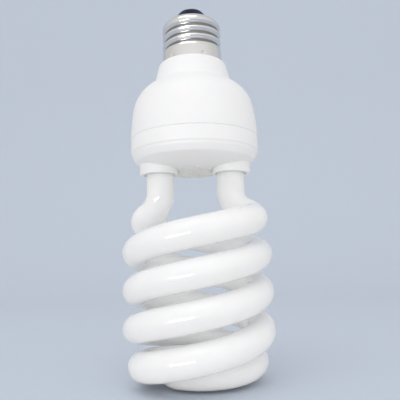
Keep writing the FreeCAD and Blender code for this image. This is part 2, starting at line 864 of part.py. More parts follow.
def wireSolid(label, points, radius, bend):
    """A round wire along points, each corner rounded to bend or to what its runs allow."""
    points = [Vector(*(sizeOf(part).value for part in point)) for point in points]
    radius, bend = sizeOf(radius).value, sizeOf(bend).value
    edges, start = [], points[0]
    for before, corner, after in zip(points, points[1:], points[2:]):
        arrive, leave = (corner - before).normalize(), (after - corner).normalize()
        half = arrive.getAngle(leave) / 2
        reach = min(bend * math.tan(half), 0.45 * min((corner - before).Length, (after - corner).Length))
        first, last = corner - arrive * reach, corner + leave * reach
        edges += [Part.LineSegment(start, first).toShape(), alongArc(first, arrive, last)]
        start = last
    edges.append(Part.LineSegment(start, points[-1]).toShape())
    section = Part.Wire(Part.makeCircle(radius, points[0], points[1] - points[0]))
    solid = doc.addObject("Part::Feature", label)
    solid.Shape = Part.Wire(edges).makePipeShell([section], True, False)
    return node(solid, label)


LIVE = {"x": 6.5, "y": 7.6, "bend": 8.0, "slope": 12.0}
live = onBoard(LIVE)
wireRadius = cell("wireHole") / 2
wireSolid(
    "live_wire",
    [
        (live["x"], live["y"], boardTop),
        (live["x"], live["y"], innerKnee + wireRadius * 3),
        (0, 0, insulatorFoot - live["slope"]),
        (0, 0, insulatorTop),
    ],
    wireRadius,
    live["bend"],
)
NEUTRAL = {"gap": 1.2, "bend": 2.0, "aroundAngle": 222.4}
neutralReach = spigotBore - wireRadius - NEUTRAL["gap"]
around = Size(NEUTRAL["aroundAngle"])
landingReach = crest - wall - cell("fitGap")
landing = cell("spigotLength") + wireRadius + cell("fitGap")
wireSolid(
    "neutral_wire",
    [
        (reach * cosine(around), reach * sine(around), height)
        for reach, height in ((neutralReach, boardTop), (neutralReach, landing), (landingReach, landing))
    ],
    wireRadius,
    NEUTRAL["bend"],
)

# Wrapping pins under the board and the electrode wires that run to them
PIN = {"width": 0.9, "length": 4.0, "spread": 7.4, "lead": 0.3, "leadSpread": 2.2, "leadDrop": 1.0}
pin = {name: Size(value) for name, value in PIN.items()}
for index, (side, end) in enumerate(((1, 1), (1, -1), (-1, 1), (-1, -1)), 1):
    pinX = legOffset * side
    pinFoot = boardFoot - pin["length"]
    pinSizes = (pin["width"], pin["width"], pin["length"])
    node(block(f"wrap_pin_{index}", pinSizes, (pinX, pin["spread"] * end), pinFoot), f"wrap_pin_{index}")
    leadZ = boardFoot - pin["leadDrop"]
    wireSolid(
        f"electrode_lead_{index}",
        [
            (pinX, pin["leadSpread"] * end, legTop),
            (pinX, pin["leadSpread"] * end, leadZ),
            (pinX, (pin["spread"] - pin["width"] / 2) * end, leadZ),
        ],
        pin["lead"],
        pin["lead"] * 2.5,
    )

doc.recompute()

for thing in doc.Objects:
    if any(word in thing.State for word in ("Invalid", "Error")):
        raise RuntimeError(f"{thing.Label} did not rebuild: {thing.State}")
for piece in nodes:
    if piece.Shape.isNull() or not piece.Shape.isValid():
        raise RuntimeError(f"{piece.Label} has no valid shape")

os.makedirs("parts", exist_ok=True)
for piece in nodes:
    piece.Shape.exportStep(f"parts/{piece.Label}.step")
    print(f"{piece.Label}: {len(piece.Shape.Solids)} solid, {piece.Shape.Volume:.0f} mm3")
print(f"{len(nodes)} pieces; the tube's foot lies at z = {footLevel - cell('tubeRadius').value:.2f} mm")
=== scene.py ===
import math

import bmesh
import bpy
from mathutils import Matrix, Vector, noise


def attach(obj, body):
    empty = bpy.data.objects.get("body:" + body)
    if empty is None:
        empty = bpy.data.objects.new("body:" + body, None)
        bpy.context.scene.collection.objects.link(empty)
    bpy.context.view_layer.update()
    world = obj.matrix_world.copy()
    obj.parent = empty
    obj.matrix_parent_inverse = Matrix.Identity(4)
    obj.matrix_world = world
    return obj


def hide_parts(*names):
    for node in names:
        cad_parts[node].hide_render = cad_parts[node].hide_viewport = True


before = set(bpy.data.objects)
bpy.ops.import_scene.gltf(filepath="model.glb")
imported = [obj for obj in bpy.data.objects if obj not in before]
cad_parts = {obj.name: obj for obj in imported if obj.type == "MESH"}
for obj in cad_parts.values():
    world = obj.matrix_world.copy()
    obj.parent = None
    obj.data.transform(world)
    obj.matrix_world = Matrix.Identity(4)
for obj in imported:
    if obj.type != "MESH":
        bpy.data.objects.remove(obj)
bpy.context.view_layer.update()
print("frame loaded")


# Shared helpers. Shapes are drawn in millimetres and brought to metres when a piece is finished.

def linearColour(hexCode):
    values = [int(hexCode[i:i + 2], 16) / 255 for i in (1, 3, 5)]
    return [v / 12.92 if v <= 0.04045 else ((v + 0.055) / 1.055) ** 2.4 for v in values] + [1.0]


def newMaterial(name, colour, **sockets):
    material = bpy.data.materials.new(name)
    material.use_nodes = True
    shader = material.node_tree.nodes["Principled BSDF"]
    shader.inputs["Base Color"].default_value = linearColour(colour)
    for socket, value in sockets.items():
        shader.inputs[socket.replace("_", " ")].default_value = value
    return material


def addNode(material, kind, settings=None, inputs=None, outputs=None):
    tree = material.node_tree
    added = tree.nodes.new(kind)
    for name, value in (settings or {}).items():
        setattr(added, name, value)
    for name, value in (inputs or {}).items():
        if isinstance(value, bpy.types.NodeSocket):
            tree.links.new(value, added.inputs[name])
        else:
            added.inputs[name].default_value = value
    for name, socket in (outputs or {}).items():
        tree.links.new(added.outputs[name], tree.nodes["Principled BSDF"].inputs[socket])
    return added


def perMetre(millimetres):
    return 1000 / millimetres  # a noise scale is in features per metre


def straightTo(bm, vert, place):
    last = bmesh.ops.extrude_vert_indiv(bm, verts=[vert])["verts"][0]
    last.co = (place[0], 0, place[1])
    return last


def arcTo(bm, vert, centre, place, steps):
    # sweeps the profile's last point round a centre in the XZ plane, the short way
    start = math.atan2(vert.co.z - centre[1], vert.co.x - centre[0])
    angle = math.atan2(place[1] - centre[1], place[0] - centre[0]) - start
    angle = (angle + math.pi) % (2 * math.pi) - math.pi
    swept = bmesh.ops.spin(
        bm, geom=[vert], cent=(centre[0], 0, centre[1]), axis=(0, -1, 0), angle=angle, steps=steps
    )
    return [part for part in swept["geom_last"] if isinstance(part, bmesh.types.BMVert)][0]


def turnProfile(bm, steps):
    bmesh.ops.spin(
        bm, geom=bm.verts[:] + bm.edges[:], cent=(0, 0, 0), axis=(0, 0, 1),
        angle=2 * math.pi, steps=steps, use_merge=True,
    )
    bmesh.ops.remove_doubles(bm, verts=bm.verts, dist=0.001)
    bmesh.ops.recalc_face_normals(bm, faces=bm.faces)


def roundRings(bm, rings, segments=5):
    # rounds the circular edges found at each (radius, height), by the width that follows
    near = 0.01
    for radius, height, width in rings:
        edges = [
            edge for edge in bm.edges
            if all(abs(v.co.z - height) < near and abs(v.co.xy.length - radius) < near for v in edge.verts)
        ]
        bmesh.ops.bevel(
            bm, geom=edges, offset=width, affect="EDGES", segments=segments, profile=0.5,
            material=-1, clamp_overlap=True,
        )


def finishPiece(name, bm, material, nodes, smoothAngle=40):
    bmesh.ops.scale(bm, vec=(0.001, 0.001, 0.001), verts=bm.verts)
    mesh = bpy.data.meshes.new(name)
    bm.to_mesh(mesh)
    bm.free()
    mesh.shade_smooth()
    mesh.set_sharp_from_angle(angle=math.radians(smoothAngle))
    mesh.materials.append(material)
    piece = bpy.data.objects.new(name, mesh)
    bpy.context.scene.collection.objects.link(piece)
    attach(piece, "root")
    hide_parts(*nodes)
    return piece


# Nickel-plated brass, rolled and bright: mirror-like, with fine lines round the shell from the rolling

nickelPlate = newMaterial("nickelPlate", "#E4E3E1", Metallic=1.0, Roughness=0.16)
where = addNode(nickelPlate, "ShaderNodeTexCoord")
# painted shade: the colour darkens towards the bottom of each thread groove, where shade falls
grooveShade = addNode(nickelPlate, "ShaderNodeAttribute", {"attribute_name": "grooveShade"})
addNode(nickelPlate, "ShaderNodeValToRGB", {}, {"Fac": grooveShade.outputs["Fac"]}, {"Color": "Base Color"})
ramp = nickelPlate.node_tree.nodes["Color Ramp"].color_ramp
ramp.elements[0].position = 0.78
ramp.elements[0].color = linearColour("#E4E3E1")
ramp.elements[1].position = 0.98
ramp.elements[1].color = linearColour("#85827E")
stretch = addNode(nickelPlate, "ShaderNodeMapping", {}, {
    "Vector": where.outputs["Object"], "Scale": (perMetre(9), perMetre(9), perMetre(0.25)),
})
rollingLines = addNode(nickelPlate, "ShaderNodeTexNoise", {}, {
    "Vector": stretch.outputs["Vector"], "Scale": 1.0, "Detail": 3.0, "Roughness": 0.6,
})
handling = addNode(nickelPlate, "ShaderNodeTexNoise", {}, {
    "Vector": where.outputs["Object"], "Scale": perMetre(4), "Detail": 4.0,
})
addNode(nickelPlate, "ShaderNodeMapRange", {}, {
    "Value": handling.outputs["Fac"], "From Min": 0.3, "From Max": 0.7, "To Min": 0.1, "To Max": 0.26,
}, {"Result": "Roughness"})
addNode(nickelPlate, "ShaderNodeBump", {}, {
    "Height": rollingLines.outputs["Fac"], "Strength": 0.12, "Distance": 0.00006,
}, {"Normal": "Normal"})

# Black glass, cast hot into the cap: near black with a cast of blue, a faint shine, slightly wavy

castGlass = newMaterial("castGlass", "#0A112C", Roughness=0.35, IOR=1.52, Specular_IOR_Level=0.04)
where = addNode(castGlass, "ShaderNodeTexCoord")
waves = addNode(castGlass, "ShaderNodeTexNoise", {}, {
    "Vector": where.outputs["Object"], "Scale": perMetre(2.5), "Detail": 2.0,
})
addNode(castGlass, "ShaderNodeBump", {}, {
    "Height": waves.outputs["Fac"], "Strength": 0.3, "Distance": 0.0001,
}, {"Normal": "Normal"})
addNode(castGlass, "ShaderNodeValToRGB", {}, {"Fac": waves.outputs["Fac"]}, {"Color": "Base Color"})
ramp = castGlass.node_tree.nodes["Color Ramp"].color_ramp
ramp.elements[0].color = linearColour("#060A24")
ramp.elements[1].color = linearColour("#0E1848")

# Tinned brass of the contact: softer shine, dulled in patches by handling

tinnedBrass = newMaterial("tinnedBrass", "#B9B2A0", Metallic=1.0, Roughness=0.3)
where = addNode(tinnedBrass, "ShaderNodeTexCoord")
patches = addNode(tinnedBrass, "ShaderNodeTexNoise", {}, {
    "Vector": where.outputs["Object"], "Scale": perMetre(1.8), "Detail": 5.0,
})
addNode(tinnedBrass, "ShaderNodeMapRange", {}, {
    "Value": patches.outputs["Fac"], "To Min": 0.22, "To Max": 0.45,
}, {"Result": "Roughness"})
addNode(tinnedBrass, "ShaderNodeValToRGB", {}, {"Fac": patches.outputs["Fac"]}, {"Color": "Base Color"})
ramp = tinnedBrass.node_tree.nodes["Color Ramp"].color_ramp
ramp.elements[0].color = linearColour("#A79E86")
ramp.elements[1].color = linearColour("#C6C1B3")

# Solder, set dull and grainy as it cooled

dullSolder = newMaterial("dullSolder", "#A8A8A8", Metallic=1.0, Roughness=0.38)
where = addNode(dullSolder, "ShaderNodeTexCoord")
grains = addNode(dullSolder, "ShaderNodeTexNoise", {}, {
    "Vector": where.outputs["Object"], "Scale": perMetre(0.5), "Detail": 4.0,
})
addNode(dullSolder, "ShaderNodeBump", {}, {
    "Height": grains.outputs["Fac"], "Strength": 0.5, "Distance": 0.0001,
}, {"Normal": "Normal"})
addNode(dullSolder, "ShaderNodeMapRange", {}, {
    "Value": grains.outputs["Fac"], "To Min": 0.3, "To Max": 0.5,
}, {"Result": "Roughness"})

# Flame-retardant PBT, injection moulded with a fine spark texture: white, satin, a soft broad highlight

mouldedPlastic = newMaterial(
    "mouldedPlastic", "#F5F5F4", Roughness=0.48, IOR=1.5, Subsurface_Weight=0.05, Subsurface_Scale=0.001
)
where = addNode(mouldedPlastic, "ShaderNodeTexCoord")
sparkTexture = addNode(mouldedPlastic, "ShaderNodeTexNoise", {}, {
    "Vector": where.outputs["Object"], "Scale": perMetre(0.35), "Detail": 2.0,  # drawn coarser, to show
})
flow = addNode(mouldedPlastic, "ShaderNodeTexNoise", {}, {
    "Vector": where.outputs["Object"], "Scale": perMetre(14), "Detail": 3.0,
})
addNode(mouldedPlastic, "ShaderNodeBump", {}, {
    "Height": sparkTexture.outputs["Fac"], "Strength": 0.12, "Distance": 0.00005,
}, {"Normal": "Normal"})
addNode(mouldedPlastic, "ShaderNodeMapRange", {}, {
    "Value": flow.outputs["Fac"], "From Min": 0.3, "From Max": 0.7, "To Min": 0.42, "To Max": 0.54,
}, {"Result": "Roughness"})
addNode(mouldedPlastic, "ShaderNodeValToRGB", {}, {"Fac": flow.outputs["Fac"]}, {"Color": "Base Color"})
ramp = mouldedPlastic.node_tree.nodes["Color Ramp"].color_ramp
ramp.elements[0].color = linearColour("#F2F2F2")
ramp.elements[1].color = linearColour("#F7F7F7")

# Clear drawn glass over a white phosphor coat: milky body, hard wet-looking highlights, faint waves

opalGlass = newMaterial(
    "opalGlass", "#F7F7F7", Roughness=0.03, IOR=1.5, Subsurface_Weight=0.6, Subsurface_Scale=0.004,
    Subsurface_Radius=(1.0, 1.0, 1.0),  # all colours go as deep, because a white coat tints no light
)
where = addNode(opalGlass, "ShaderNodeTexCoord")
coatClouds = addNode(opalGlass, "ShaderNodeTexNoise", {}, {
    "Vector": where.outputs["Object"], "Scale": perMetre(6), "Detail": 3.0,
})
drawnWaves = addNode(opalGlass, "ShaderNodeTexNoise", {}, {
    "Vector": where.outputs["Object"], "Scale": perMetre(11), "Detail": 1.0,
})
addNode(opalGlass, "ShaderNodeBump", {}, {
    "Height": drawnWaves.outputs["Fac"], "Strength": 0.25, "Distance": 0.0002,
}, {"Normal": "Normal"})
addNode(opalGlass, "ShaderNodeValToRGB", {}, {"Fac": coatClouds.outputs["Fac"]}, {"Color": "Base Color"})
ramp = opalGlass.node_tree.nodes["Color Ramp"].color_ramp
ramp.elements[0].color = linearColour("#F2F2F2")
ramp.elements[1].color = linearColour("#F7F7F7")

# Ceramic-filled cement: chalky and coarse-grained, a dull white with greyer specks

lampCement = newMaterial("lampCement", "#EFEFED", Roughness=0.8)
where = addNode(lampCement, "ShaderNodeTexCoord")
grit = addNode(lampCement, "ShaderNodeTexNoise", {}, {
    "Vector": where.outputs["Object"], "Scale": perMetre(0.7), "Detail": 6.0,
})
addNode(lampCement, "ShaderNodeBump", {}, {
    "Height": grit.outputs["Fac"], "Strength": 0.5, "Distance": 0.0003,
}, {"Normal": "Normal"})
addNode(lampCement, "ShaderNodeValToRGB", {}, {"Fac": grit.outputs["Fac"]}, {"Color": "Base Color"})
ramp = lampCement.node_tree.nodes["Color Ramp"].color_ramp
ramp.elements[0].position = 0.3
ramp.elements[0].color = linearColour("#E2E2E0")
ramp.elements[1].position = 0.62
ramp.elements[1].color = linearColour("#F8F8F7")
print("outer materials made")


# Screw shell: a rolled round thread between the plain skirt and the shoulder, one sheet thick

shellShape = {
    "radius": 13.2,
    "wall": 0.35,
    "skirt": 5.2,
    "crest": 13.1,
    "pitch": 3.629,
    "threadArc": 1.025,  # radius of crest and root alike, as the thread standard draws them
    "threadFoot": 6.3,
    "threadHead": 17.2,
    "frontRoot": 14.6,  # height of a root on the lamp's front
    "shoulderStart": 16.5,
    "shoulderRadius": 3.5,
    "opening": 9.3,
    "fadeLead": 1.2,  # how far below its foot the thread starts to rise
    "fadeInLength": 1.6,
    "fadeOutLength": 1.4,
    "rimRound": 0.1,
    "skirtRows": 24,
    "threadRows": 52,
    "shoulderSteps": 26,
    "steps": 192,
    "punches": 6,
    "punchAngle": -69,
    "punchHeight": 1.2,
    "punchSize": 0.65,
    "punchDepth": 0.4,
}


def threadDepth():
    arc = shellShape["threadArc"]
    return 2 * (arc - math.sqrt(arc ** 2 - (shellShape["pitch"] / 4) ** 2))


def threadDip(angle, height):
    # how far the sheet lies inside the crest, two equal arcs for each turn
    shape = shellShape
    pitch, arc, deep = shape["pitch"], shape["threadArc"], threadDepth()
    root = shape["frontRoot"] + pitch * (angle + math.pi / 2) / (2 * math.pi)
    away = (height - root + pitch / 2) % pitch - pitch / 2
    if abs(away) < pitch / 4:
        dip = deep - arc + math.sqrt(arc ** 2 - away ** 2)
    else:
        dip = arc - math.sqrt(arc ** 2 - (pitch / 2 - abs(away)) ** 2)
    fadeIn = min(1, max(0, (height - shape["threadFoot"] + shape["fadeLead"]) / shape["fadeInLength"]))
    fadeOut = min(1, max(0, (shape["threadHead"] - height) / shape["fadeOutLength"]))
    return dip * fadeIn ** 2 * (3 - 2 * fadeIn) * fadeOut ** 2 * (3 - 2 * fadeOut)


def makeScrewShell():
    shape = shellShape
    crest, bend = shape["crest"], shape["shoulderRadius"]
    centre = (crest - bend, shape["shoulderStart"])
    top = centre[1] + math.sqrt(bend ** 2 - (shape["opening"] - centre[0]) ** 2)
    inner = bend - shape["wall"]
    innerTop = centre[1] + math.sqrt(inner ** 2 - (shape["opening"] - centre[0]) ** 2)
    skirtRows, threadRows, steps = shape["skirtRows"], shape["threadRows"], shape["shoulderSteps"]
    rowHeight = (shape["shoulderStart"] - shape["skirt"]) / threadRows
    bm = bmesh.new()
    start = vert = bm.verts.new((shape["radius"], 0, 0))
    for row in range(1, skirtRows + 1):
        vert = straightTo(bm, vert, (shape["radius"], shape["skirt"] * row / skirtRows))
    for row in range(1, threadRows + 1):
        vert = straightTo(bm, vert, (crest, shape["skirt"] + rowHeight * row))
    vert = arcTo(bm, vert, centre, (shape["opening"], top), steps)
    vert = straightTo(bm, vert, (shape["opening"], innerTop))
    vert = arcTo(bm, vert, centre, (crest - shape["wall"], shape["shoulderStart"]), steps)
    for row in range(threadRows - 1, -1, -1):
        vert = straightTo(bm, vert, (crest - shape["wall"], shape["skirt"] + rowHeight * row))
    for row in range(skirtRows - 1, -1, -1):
        vert = straightTo(bm, vert, (shape["radius"] - shape["wall"], shape["skirt"] * row / skirtRows))
    bm.edges.new((vert, start))
    turnProfile(bm, shape["steps"])
    # weight of the painted shade in the grooves, read by the nickel's colour ramp
    grooveShadeLayer = bm.verts.layers.float.new("grooveShade")
    for vert in bm.verts:
        angle = math.atan2(vert.co.y, vert.co.x)
        dip = threadDip(angle, vert.co.z)
        vert[grooveShadeLayer] = dip / threadDepth()  # painted shade, darker in the bottom of the grooves
        for punch in range(shape["punches"]):
            turn = math.radians(shape["punchAngle"] + 360 * punch / shape["punches"])
            across = math.remainder(angle - turn, 2 * math.pi) * shape["radius"]
            away = math.hypot(across, vert.co.z - shape["punchHeight"]) / shape["punchSize"]
            if away < 3:  # further out the dent has died away
                dip += shape["punchDepth"] * math.exp(-away ** 2)
        radius = vert.co.xy.length
        vert.co.xy = vert.co.xy * ((radius - dip) / radius)
    roundRings(bm, [(shape["radius"], 0, shape["rimRound"])], 2)
    finishPiece("screwShell", bm, nickelPlate, ["screw_shell"])


makeScrewShell()

# Contact end: cast insulator, pressed contact and the drop of solder

contactEnd = {
    "insulatorRim": 9.25,
    "insulatorFoot": 17.2,
    "insulatorShelf": 20.03,
    "insulatorTop": 25.08,
    "insulatorTopRadius": 5.3,
    "rimRound": 0.35,
    "topRound": 0.5,
    "hole": 1.2,
    "contactRadius": 4.7,
    "contactWall": 0.5,
    "contactDish": 0.5,
    "contactRound": 0.18,
    "solderRadius": 1.9,
    "solderRise": 0.5,
    "solderSpread": 0.06,  # how uneven the drop is, as a share of its radius
    "solderSag": 0.12,
    "crownSteps": 12,
    "steps": 96,
}


def makeContactEnd():
    shape = contactEnd
    bm = bmesh.new()
    start = vert = bm.verts.new((shape["hole"], 0, shape["insulatorFoot"]))
    vert = straightTo(bm, vert, (shape["insulatorRim"], shape["insulatorFoot"]))
    vert = straightTo(bm, vert, (shape["insulatorRim"], shape["insulatorShelf"]))
    vert = straightTo(bm, vert, (shape["insulatorTopRadius"], shape["insulatorTop"]))
    vert = straightTo(bm, vert, (shape["hole"], shape["insulatorTop"]))
    bm.edges.new((vert, start))
    turnProfile(bm, shape["steps"])
    roundRings(bm, [
        (shape["insulatorTopRadius"], shape["insulatorTop"], shape["topRound"]),
        (shape["insulatorRim"], shape["insulatorShelf"], shape["rimRound"]),
    ])
    finishPiece("contactInsulator", bm, castGlass, ["contact_insulator"])

    foot, edge = shape["insulatorTop"], shape["insulatorTop"] + shape["contactWall"]
    crown = (shape["contactRadius"] ** 2 + shape["contactDish"] ** 2) / (2 * shape["contactDish"])
    middle = edge + shape["contactDish"]
    bm = bmesh.new()
    vert = bm.verts.new((0, 0, foot))
    vert = straightTo(bm, vert, (shape["contactRadius"], foot))
    vert = straightTo(bm, vert, (shape["contactRadius"], edge))
    arcTo(bm, vert, (0, middle - crown), (0, middle), shape["crownSteps"])
    turnProfile(bm, shape["steps"])
    roundRings(bm, [(shape["contactRadius"], edge, shape["contactRound"])], 3)
    finishPiece("centreContact", bm, tinnedBrass, ["centre_contact"])

    peak = middle + shape["solderRise"]
    skirt = middle - crown + math.sqrt(crown ** 2 - shape["solderRadius"] ** 2)
    rise = peak - skirt
    bead = (shape["solderRadius"] ** 2 + rise ** 2) / (2 * rise)
    bm = bmesh.new()
    vert = bm.verts.new((0, 0, skirt))
    vert = straightTo(bm, vert, (shape["solderRadius"], skirt))
    arcTo(bm, vert, (0, peak - bead), (0, peak), shape["crownSteps"])
    turnProfile(bm, shape["steps"])
    for vert in bm.verts:
        if vert.co.z > skirt + 0.05:  # all but the foot: a drop that set by hand is never round
            vert.co.xy *= 1 + shape["solderSpread"] * noise.noise(vert.co * 0.9)
            vert.co.z -= shape["solderSag"] * abs(noise.noise(vert.co * 1.3 + Vector((4, 0, 0))))
    finishPiece("contactSolder", bm, dullSolder, ["contact_solder"])


makeContactEnd()
print("cap made")

# Upper housing: straight tapered neck, knee, dome and side, with a fine step at the seam

housingShape = {
    "radius": 27.4,
    "seam": -34.2,
    "seamStep": 0.3,
    "wall": 1.6,
    "sideRadius": 75.0,
    "sideSweep": 10.1,
    "domeRadius": 15.9,
    "kneeRadius": 17.1,
    "kneeRound": 1.1,
    "neckRadius": 15.1,
    "neckRound": 1.5,
    "spigotRadius": 12.8,
    "spigotLength": 4.6,
    "spigotWall": 1.5,
    "spigotFoot": 3.0,
    "seamRound": 0.12,
    "seamInnerRound": 0.08,
    "sideSteps": 10,
    "domeSteps": 28,
    "neckSteps": 8,
    "innerDomeSteps": 14,
    "innerSideSteps": 6,
    "steps": 192,
}


def makeUpperHousing():
    shape = housingShape
    sweep = math.radians(shape["sideSweep"])
    sideCentre = (shape["radius"] - shape["sideRadius"], shape["seam"])
    reach = shape["sideRadius"] - shape["domeRadius"]
    domeCentre = (sideCentre[0] + reach * math.cos(sweep), sideCentre[1] + reach * math.sin(sweep))

    def sideTop(inset):
        radius = shape["sideRadius"] - inset
        return sideCentre[0] + radius * math.cos(sweep), sideCentre[1] + radius * math.sin(sweep)

    def onDome(inset, radius):
        bend = shape["domeRadius"] - inset
        return radius, domeCentre[1] + math.sqrt(bend ** 2 - (radius - domeCentre[0]) ** 2)

    wall, seam, step = shape["wall"], shape["seam"], shape["seamStep"]
    knee = onDome(0, shape["kneeRadius"])
    innerKnee = onDome(wall, shape["kneeRadius"] - wall)
    shelf = shape["neckRadius"] - shape["neckRound"]
    bore = shape["spigotRadius"] - shape["spigotWall"]
    bm = bmesh.new()
    start = vert = bm.verts.new((shape["radius"] - wall, 0, seam))
    vert = straightTo(bm, vert, (shape["radius"] - step, seam))
    vert = straightTo(bm, vert, (shape["radius"], seam + step))
    vert = arcTo(bm, vert, sideCentre, sideTop(0), shape["sideSteps"])
    vert = arcTo(bm, vert, domeCentre, knee, shape["domeSteps"])
    vert = straightTo(bm, vert, (shape["neckRadius"], -shape["neckRound"]))
    vert = arcTo(bm, vert, (shelf, -shape["neckRound"]), (shelf, 0), shape["neckSteps"])
    vert = straightTo(bm, vert, (shape["spigotRadius"], 0))
    vert = straightTo(bm, vert, (shape["spigotRadius"], shape["spigotLength"]))
    vert = straightTo(bm, vert, (bore, shape["spigotLength"]))
    vert = straightTo(bm, vert, (bore, -shape["spigotFoot"]))
    vert = straightTo(bm, vert, innerKnee)
    vert = arcTo(bm, vert, domeCentre, sideTop(wall), shape["innerDomeSteps"])
    vert = arcTo(bm, vert, sideCentre, (shape["radius"] - wall, seam), shape["innerSideSteps"])
    bm.edges.new((vert, start))
    turnProfile(bm, shape["steps"])
    roundRings(bm, [
        (knee[0], knee[1], shape["kneeRound"]),
        (shape["radius"] - step, seam, shape["seamInnerRound"]),
        (shape["radius"], seam + step, shape["seamRound"]),
    ])
    finishPiece("upperHousing", bm, mouldedPlastic, ["upper_housing"])


makeUpperHousing()

# Tube holder: the cup that closes the housing, its underside slightly domed, with a collar for each leg

holderShape = {
    "radius": 27.4,
    "seam": -34.2,
    "seamStep": 0.3,
    "band": 5.9,
    "stepWidth": 0.4,
    "stepFall": 0.5,
    "lipWidth": 0.6,
    "lipFall": 1.5,
    "plateRadius": 25.3,
    "plateEdge": -44.0,
    "plateBulge": 3.4,
    "plateRound": 0.45,
    "lipRound": 0.35,
    "stepRound": 0.15,
    "bandRound": 0.2,
    "seamRound": 0.12,
    "seamInnerRound": 0.08,
    "wall": 1.8,
    "floorInset": 0.95,  # how many walls the cup's floor stops short of the plate's rim
    "bandWall": 2.2,
    "snapRadius": 25.25,
    "snapWall": 1.4,
    "snapHeight": 5.0,
    "snapShelf": 1.2,
    "collarOffset": 15.6,
    "collarRadius": 8.15,
    "collarFoot": -49.2,
    "collarHead": -43.5,
    "collarBore": 6.8,
    "collarRound": 0.5,
    "boreBelow": 1.0,  # the bore's cutter runs out of the collar at its foot and into the cup at its head
    "boreAbove": 2.0,
    "plateSteps": 20,
    "floorSteps": 10,
    "steps": 192,
    "collarSteps": 96,
}


def makeTubeHolder():
    shape = holderShape
    radius, seam, step, edge = shape["radius"], shape["seam"], shape["seamStep"], shape["plateEdge"]
    bandFoot, low = seam - shape["band"], edge - shape["plateBulge"]
    snapBore, bandBore = shape["snapRadius"] - shape["snapWall"], radius - shape["bandWall"]
    arc = (shape["plateRadius"] ** 2 + shape["plateBulge"] ** 2) / (2 * shape["plateBulge"])
    centre, floorArc = (0, low + arc), arc - shape["wall"]
    floorRadius = shape["plateRadius"] - shape["floorInset"] * shape["wall"]
    floorEdge = centre[1] - math.sqrt(floorArc ** 2 - floorRadius ** 2)
    bm = bmesh.new()
    vert = bm.verts.new((0, 0, low))
    vert = arcTo(bm, vert, centre, (shape["plateRadius"], edge), shape["plateSteps"])
    vert = straightTo(bm, vert, (radius - shape["lipWidth"], bandFoot - shape["lipFall"]))
    vert = straightTo(bm, vert, (radius - shape["stepWidth"], bandFoot - shape["stepFall"]))
    vert = straightTo(bm, vert, (radius, bandFoot))
    vert = straightTo(bm, vert, (radius, seam - step))
    vert = straightTo(bm, vert, (radius - step, seam))
    vert = straightTo(bm, vert, (shape["snapRadius"], seam))
    vert = straightTo(bm, vert, (shape["snapRadius"], seam + shape["snapHeight"]))
    vert = straightTo(bm, vert, (snapBore, seam + shape["snapHeight"]))
    vert = straightTo(bm, vert, (snapBore, seam - shape["snapShelf"]))
    vert = straightTo(bm, vert, (bandBore, seam - shape["snapShelf"] - (bandBore - snapBore)))
    vert = straightTo(bm, vert, (bandBore, bandFoot + shape["wall"] - 2 * shape["lipFall"]))
    vert = straightTo(bm, vert, (floorRadius, floorEdge))
    arcTo(bm, vert, centre, (0, low + shape["wall"]), shape["floorSteps"])
    turnProfile(bm, shape["steps"])
    roundRings(bm, [
        (shape["plateRadius"], edge, shape["plateRound"]),
        (radius - shape["lipWidth"], bandFoot - shape["lipFall"], shape["lipRound"]),
        (radius - shape["stepWidth"], bandFoot - shape["stepFall"], shape["stepRound"]),
        (radius, bandFoot, shape["bandRound"]),
        (radius, seam - step, shape["seamRound"]),
        (radius - step, seam, shape["seamInnerRound"]),
    ], 4)
    cup = finishPiece("tubeHolder", bm, mouldedPlastic, ["tube_holder"])

    # each collar's wall is joined on, then its bore is cut through collar and cup together
    wallFoot, wallHead = shape["collarFoot"], shape["collarHead"]
    boreFoot, boreHead = wallFoot - shape["boreBelow"], wallHead + shape["boreAbove"]
    for side in (1, -1):
        for name, radius, foot, head, operation in (
            ("collarWall", shape["collarRadius"], wallFoot, wallHead, "UNION"),
            ("collarBore", shape["collarBore"], boreFoot, boreHead, "DIFFERENCE"),
        ):
            bm = bmesh.new()
            middle = Matrix.Translation((shape["collarOffset"] * side, 0, (head + foot) / 2))
            bmesh.ops.create_cone(
                bm, cap_ends=True, segments=shape["collarSteps"], radius1=radius, radius2=radius,
                depth=head - foot, matrix=middle,
            )
            if operation == "UNION":
                rim = [edge for edge in bm.edges if all(v.co.z < foot + 0.01 for v in edge.verts)]
                bmesh.ops.bevel(
                    bm, geom=rim, offset=shape["collarRound"], affect="EDGES", segments=4, profile=0.5,
                    material=-1,
                )
            bmesh.ops.scale(bm, vec=(0.001, 0.001, 0.001), verts=bm.verts)
            mesh = bpy.data.meshes.new(name)
            bm.to_mesh(mesh)
            bm.free()
            cutter = bpy.data.objects.new(name, mesh)
            bpy.context.scene.collection.objects.link(cutter)
            modifier = cup.modifiers.new(name, "BOOLEAN")
            modifier.operation = operation
            modifier.solver = "EXACT"
            modifier.object = cutter
            depsgraph = bpy.context.evaluated_depsgraph_get()
            shaped = bpy.data.meshes.new_from_object(cup.evaluated_get(depsgraph))
            cup.modifiers.remove(modifier)
            cup.data = shaped
            bpy.data.objects.remove(cutter)
    cup.data.shade_smooth()
    cup.data.set_sharp_from_angle(angle=math.radians(30))


makeTubeHolder()
print("housing made")

# Glass tube: one round tube through both legs, the two-start spiral and the closing turn at the foot

tubeShape = {
    "radius": 5.95,
    "legOffset": 15.1,
    "top": -38.0,
    "legFoot": -56.5,
    "bendAngle": 30,
    "bendDrop": 13.8,
    "spiralRadius": 25.5,
    "pitch": 30.7,
    "turn": 630,
    "hook": 7.2,
    "fallEase": 1.5,  # power by which the spiral's fall dies away in the closing turn
    "spiralParts": 21,
    "hookParts": 6,
    "middleParts": 4,
    "ringSteps": 16,
    "alongSteps": 14,
}


